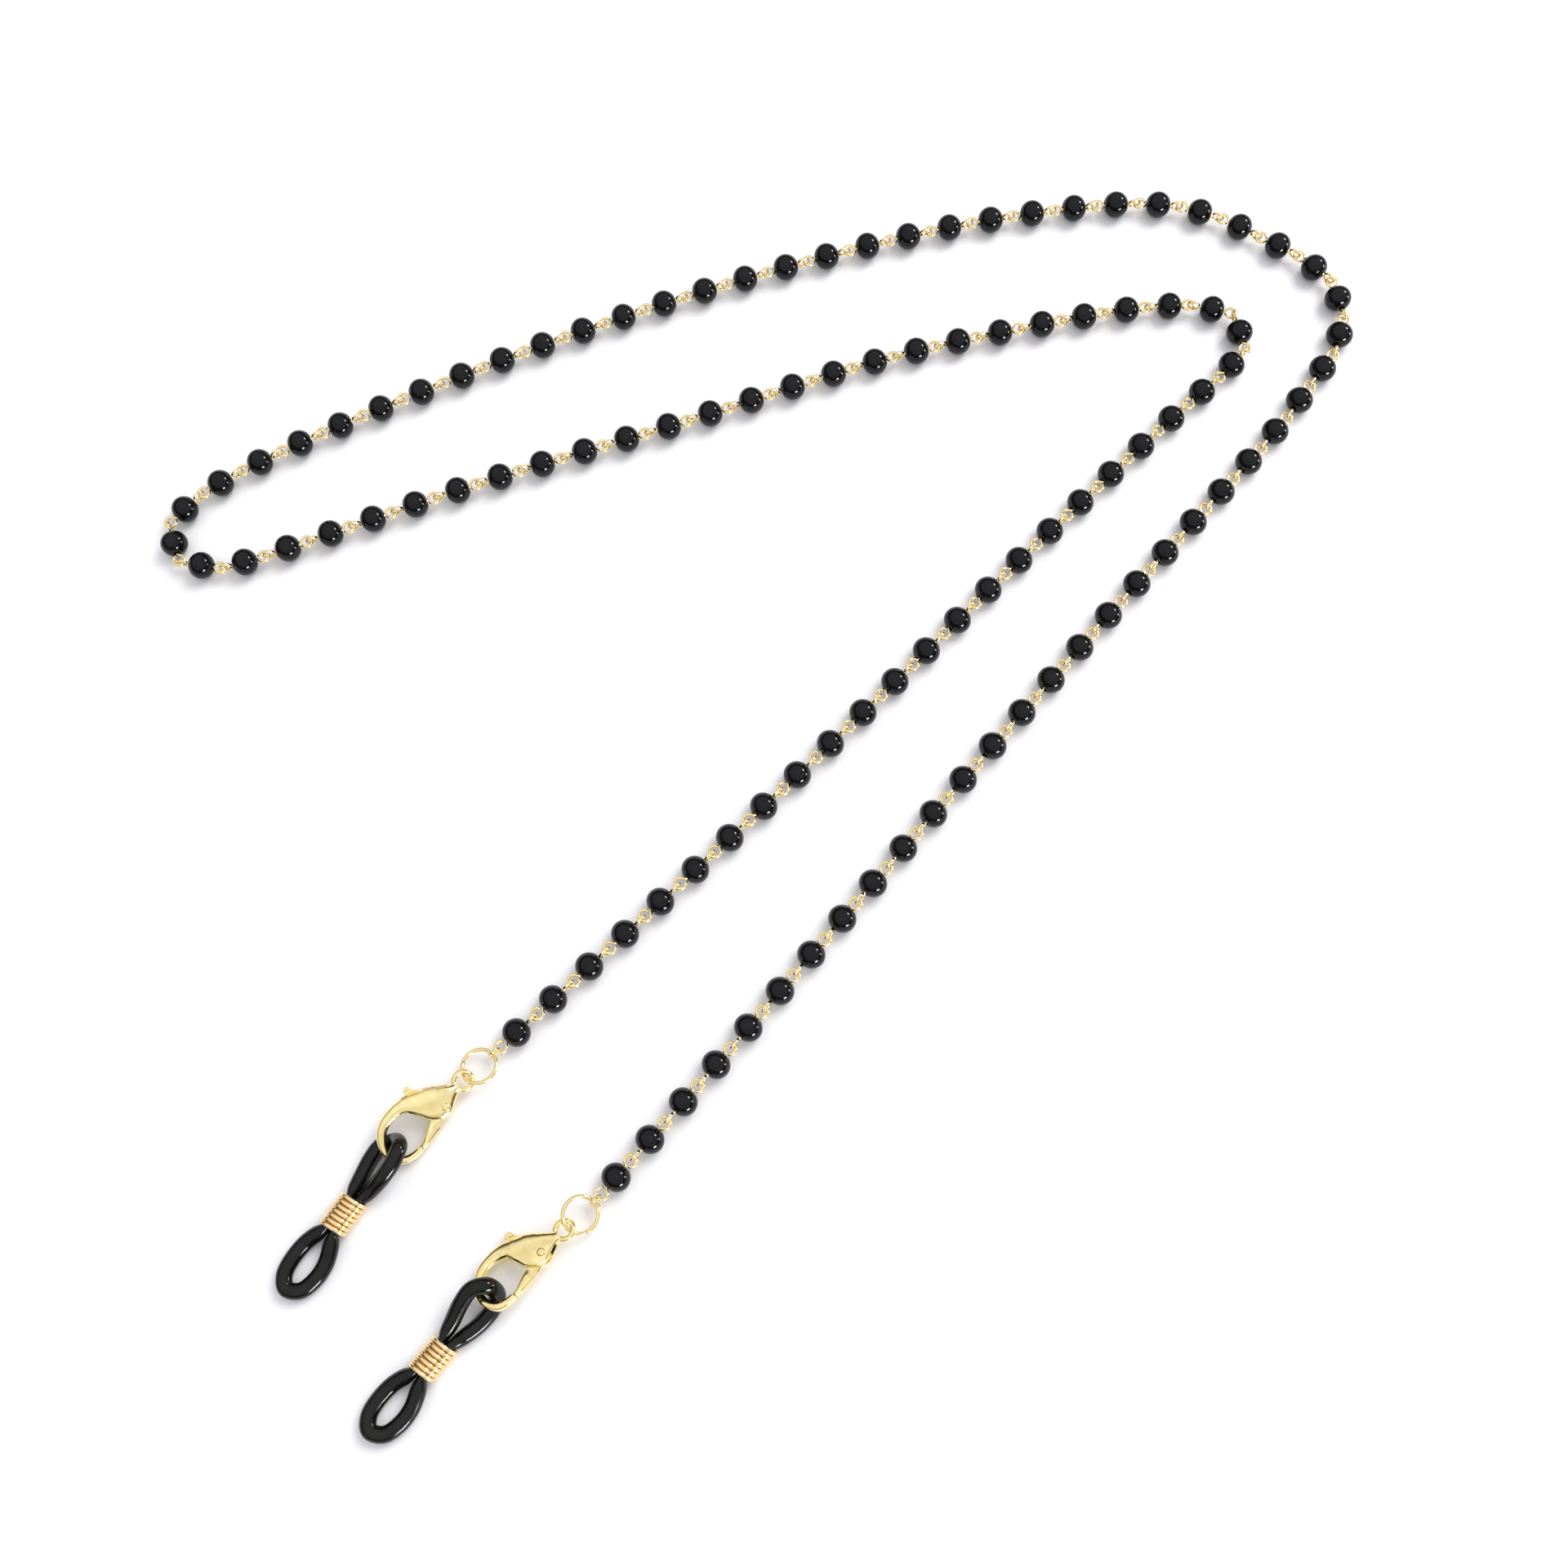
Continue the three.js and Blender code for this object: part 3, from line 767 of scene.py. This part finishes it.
def clasp_strands(end):
    """Where the cord goes from the coil, round the bar of the hook and back."""
    lift = math.sin(math.radians(end["roll"]))
    over = 1 if end["roll"] > 0 else -1

    def bar(y):
        return end["height"] + lift * y

    def step(x, y, rise):
        return (x, y, bar(y) + rise)

    return [
        (18.0, -1.55, 2.2 if over > 0 else 1.35),
        (15.4, -1.65, bar(-1.65) + over * (1.95 if over > 0 else 2.2)),
        step(HOOK_BAR_X, -1.3, over * 2.13),
        step(11.84, -0.55, over * 1.62),
        step(11.44, 0.3, 0),
        step(11.82, 1.17, -over * 1.64),
        step(HOOK_BAR_X, 2.0, -over * 2.04),
        (15.4, 1.75, 1.15 if over > 0 else 3.6),
        (18.0, 0.85, 1.35 if over > 0 else 2.3),
    ]


TEMPLE_STRANDS = [
    (28.6, 0.02), (31.2, -0.22), (33.2, -0.95), (34.25, -2.4), (33.2, -3.95), (31.0, -4.35),
    (28.6, -3.85),
]


# How far the two strands stand from the middle: in the coil, and just past its two mouths.
STRAND_ASIDE = 0.66
CLASP_SIDE_ASIDE = 0.88
TEMPLE_SIDE_ASIDE = 0.94
COIL_MOUTH = 0.8


def rubber_mesh(end, to_world):
    """The loop, one closed cord that runs through the coil twice and is narrower there."""
    start = to_world((*WAIST_START, WAIST_HEIGHT))
    finish = to_world((*WAIST_END, WAIST_HEIGHT))
    along = (finish - start).normalized()
    across = Vector((along.y, -along.x, 0))
    length = (finish - start).length

    def waist(side, distance, aside=STRAND_ASIDE):
        return start + across * side * aside + along * distance

    steps = [-0.1 + (length + 0.2) * k / 4 for k in range(5)]
    before, after = -COIL_MOUTH, length + COIL_MOUTH
    corners = [to_world(p) for p in clasp_strands(end)]
    corners += [waist(1, before, CLASP_SIDE_ASIDE), *(waist(1, d) for d in steps)]
    corners += [waist(1, after, TEMPLE_SIDE_ASIDE)]
    corners += [to_world((x, y, RUBBER + 0.06)) for x, y in TEMPLE_STRANDS]
    corners += [waist(-1, after, TEMPLE_SIDE_ASIDE), *(waist(-1, d) for d in reversed(steps))]
    corners += [waist(-1, before, CLASP_SIDE_ASIDE)]
    path = smooth_path(corners, closed=True, spacing=0.25)

    def section(i):
        offset = path[i] - start
        inside = offset.dot(along)
        aside = abs(offset.dot(across))
        if not -4.5 < inside < length + 4:
            return RUBBER, RUBBER
        wide = -math.log(math.exp(-9 * aside) + math.exp(-9 * RUBBER)) / 9
        return wide, RUBBER + 0.08 * (RUBBER - wide) / (RUBBER - STRAND_ASIDE)

    points, faces, _ = tube(path, RUBBER, 24, closed=True, section=section, level=True)
    return to_mesh("rubber_figure_eight", points, faces, RUBBER_SKIN), start, finish


def coil_mesh(start, along):
    """A wound wire, wider than high, its two ends tucked in."""
    side = Vector((-along.y, along.x, 0))
    path = []
    per_turn = 40
    for k in range(COIL_TURNS * per_turn + 1):
        t = k / (COIL_TURNS * per_turn)
        angle = 2 * math.pi * (COIL_TURNS * t - 0.25)
        tuck = 0.06 * (max(0, 1 - 8 * t) ** 2 + max(0, 8 * t - 7) ** 2)
        path.append(
            start + along * COIL_TURNS * COIL_PITCH * t
            + side * (COIL_RADIUS + COIL_WIDER - tuck) * math.cos(angle)
            + Z * (COIL_RADIUS - COIL_LOWER - tuck) * math.sin(angle)
        )
    return to_mesh("coil_wire", *merged_for_mesh(tube(path, COIL_WIRE, 12), COIL_GOLD))


# How far one ring's centre lies past the wire it hangs on, and the clasp eye's play.
SMALL_RING_HANG = 0.33
JUMP_RING_HANG = 0.26
CLASP_PLAY = 0.15


def add_end(side, end):
    """Everything past the last bead at one end: rings, clasp, rubber loop and coil."""
    is_left = side == "left"
    link = 0 if is_left else LINK_COUNT - 1
    joint = POINTS[0] if is_left else POINTS[LINK_COUNT]
    outward = heading_of(link) * (-1 if is_left else 1)

    def add(name, mesh, matrix, body, node):
        piece = place(f"{side}_{name}", mesh, matrix)
        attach(piece, f"{side}_{body}")
        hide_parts(f"{side}_{node}")
        return piece

    # Small upright ring through the last eye
    pass_by = EYE_CENTRE + EYE_RADIUS - LINK_PITCH / 2
    small_centre = joint + outward * (pass_by + SMALL_RING_HANG)
    upright = link_frame(link)
    upright.translation = small_centre
    upright = upright @ Matrix.Rotation(math.pi / 2, 4, "X")
    wires = [split_ring(EYE_RADIUS, WIRE, 118, 0.1, 0.08)]
    if not is_left:
        # A cut end of wire left on the right small ring
        aim = (upright.inverted().to_3x3() @ Vector((0.75, -0.62, 0.05))).normalized()
        root = Vector((0.3, 0.74, 0))
        wires.append(tube([root + aim * 0.13 * k for k in range(11)], WIRE * 0.92, 12))
    small = to_mesh("small_split_ring", *merged_for_mesh(merged(wires)))
    add("small_split_ring", small, upright, "small_ring", "small_ring")

    # Jump ring
    near = small_centre + outward * JUMP_RING_HANG
    rise = (end["height"] - near.z) / (2 * JUMP_RING_RADIUS)
    ring_frame = rolled_frame(near, end["ring_heading"], rise, end["ring_roll"])
    ring_axis = ring_frame.col[0].to_3d()
    ring_frame.translation = near + ring_axis * JUMP_RING_RADIUS
    split = 62 if is_left else -68
    wire = split_ring(JUMP_RING_RADIUS, JUMP_RING_WIRE, split, 0.12, 0.2)
    jump = to_mesh("jump_split_ring", *merged_for_mesh(wire))
    add("jump_split_ring", jump, ring_frame, "jump_ring", "jump_ring")

    # Clasp
    far = near + ring_axis * 2 * JUMP_RING_RADIUS
    clasp_frame = rolled_frame(far, end["heading"], 0, end["roll"])
    clasp_axis = clasp_frame.col[0].to_3d()
    hooked = CLASP_EYE_RADIUS - CLASP_EYE_WIRE - JUMP_RING_WIRE - CLASP_PLAY
    eye_centre = far + clasp_axis * hooked
    clasp_frame.translation = eye_centre
    add("clasp_casting", CASTING_MESH, clasp_frame, "clasp", "clasp_body")
    add("clasp_rivet_pin", RIVET_MESH, clasp_frame, "clasp", "clasp_rivet")
    add("clasp_gate_lever", LEVER_MESH, clasp_frame, "lever", "clasp_lever")

    leaf = place(f"{side}_clasp_leaf", SPRING_MESH.copy(), clasp_frame)
    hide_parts(f"{side}_clasp_spring")
    bpy.context.view_layer.update()
    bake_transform(leaf)

    # Rubber loop and coil
    knob_side = Vector((clasp_axis.y, -clasp_axis.x, 0))

    def to_world(p):
        x, y, z = p
        return Vector((eye_centre.x, eye_centre.y, z)) + clasp_axis * x + knob_side * y

    mesh, start, finish = rubber_mesh(end, to_world)
    loop = place(f"{side}_rubber_figure_eight", mesh)
    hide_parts(f"{side}_rubber_loop")
    start.lerp(finish, 0.2) * MM
    start.lerp(finish, 0.8) * MM
    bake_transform(loop)
    coil = place(f"{side}_coil_wire", coil_mesh(start, (finish - start).normalized()))
    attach(coil, f"{side}_coil")
    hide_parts(f"{side}_coil")


add_chain()
for end_side, end_values in ENDS.items():
    add_end(end_side, end_values)


# ---------------------------------------------------------------- stage and light


def floor_material():
    """Matt near-white, mottled too faintly to see."""
    material, shader, coordinates = new_material("white_table")
    links = material.node_tree.links
    mottle = noise_node(material, coordinates, 9, 3)
    links.new(
        ramp(material, mottle, (0.90, 0.90, 0.925), (0.92, 0.92, 0.935)),
        shader.inputs["Base Color"],
    )
    shader.inputs["Roughness"].default_value = 0.9
    shader.inputs["Specular IOR Level"].default_value = 0.1
    return material


floor_mesh = bpy.data.meshes.new("table")
floor_mesh.from_pydata([(-4, -4, 0), (4, -4, 0), (4, 4, 0), (-4, 4, 0)], [], [(0, 1, 2, 3)])
floor_mesh.materials.append(floor_material())
floor = bpy.data.objects.new("table", floor_mesh)
bpy.context.scene.collection.objects.link(floor)

world = bpy.data.worlds.new("studio")
bpy.context.scene.world = world
world.use_nodes = True
background = world.node_tree.nodes["Background"]
background.inputs["Strength"].default_value = 1.0
direction_node = world.node_tree.nodes.new("ShaderNodeTexCoord")
split_node = world.node_tree.nodes.new("ShaderNodeSeparateXYZ")
sky_ramp = world.node_tree.nodes.new("ShaderNodeValToRGB")
world.node_tree.links.new(direction_node.outputs["Generated"], split_node.inputs[0])
world.node_tree.links.new(split_node.outputs["Z"], sky_ramp.inputs["Fac"])
seen_node = world.node_tree.nodes.new("ShaderNodeLightPath")
backdrop_node = world.node_tree.nodes.new("ShaderNodeMix")
backdrop_node.data_type = "RGBA"
world.node_tree.links.new(seen_node.outputs["Is Camera Ray"], backdrop_node.inputs["Factor"])
world.node_tree.links.new(sky_ramp.outputs["Color"], backdrop_node.inputs["A"])
backdrop_node.inputs["B"].default_value = (0.93, 0.93, 0.95, 1)
world.node_tree.links.new(backdrop_node.outputs["Result"], background.inputs["Color"])
SKY = [
    (0.0, (0.10, 0.08, 0.05)), (0.16, (0.07, 0.055, 0.035)), (0.32, (0.18, 0.15, 0.11)),
    (0.44, (0.72, 0.72, 0.74)), (0.6, (1.0, 1.0, 1.03)), (0.8, (0.84, 0.84, 0.88)),
    (0.92, (1.1, 1.1, 1.14)),
]
while len(sky_ramp.color_ramp.elements) < len(SKY):
    sky_ramp.color_ramp.elements.new(0.5)
for stop, (position, color) in zip(sky_ramp.color_ramp.elements, SKY):
    stop.position = position
    stop.color = (*color, 1)


def add_light(name, direction, distance, size, energy, color=(1, 1, 1), diffuse=True, glossy=True):
    data = bpy.data.lights.new(name, "AREA")
    data.shape = "RECTANGLE"
    data.size, data.size_y = size
    data.energy = energy
    data.color = color
    light = bpy.data.objects.new(name, data)
    direction = Vector(direction).normalized()
    target = Vector((0, 0, 0.002))
    light.location = target + direction * distance
    light.rotation_euler = direction.to_track_quat("Z", "Y").to_euler()
    light.visible_camera = False
    light.visible_diffuse = diffuse
    light.visible_glossy = glossy
    bpy.context.scene.collection.objects.link(light)
    return light


add_light("key", (0.55, 0.45, 0.9), 1.1, (0.6, 0.6), 7.2, (1.0, 0.99, 0.97), glossy=False)
view = camera.matrix_world.to_3x3()
add_light("glint_window", view @ Vector((0.534, -0.75, 0.391)), 1.5, (0.5, 0.28), 22, diffuse=False)
add_light("glint_lamp", view @ Vector((0.708, 0.609, 0.355)), 1.5, (0.3, 0.3), 9, diffuse=False)
add_light("glint_strip", view @ Vector((0.993, 0.074, 0.098)), 1.5, (0.25, 0.6), 8, diffuse=False)

bpy.context.scene.view_settings.view_transform = "Standard"
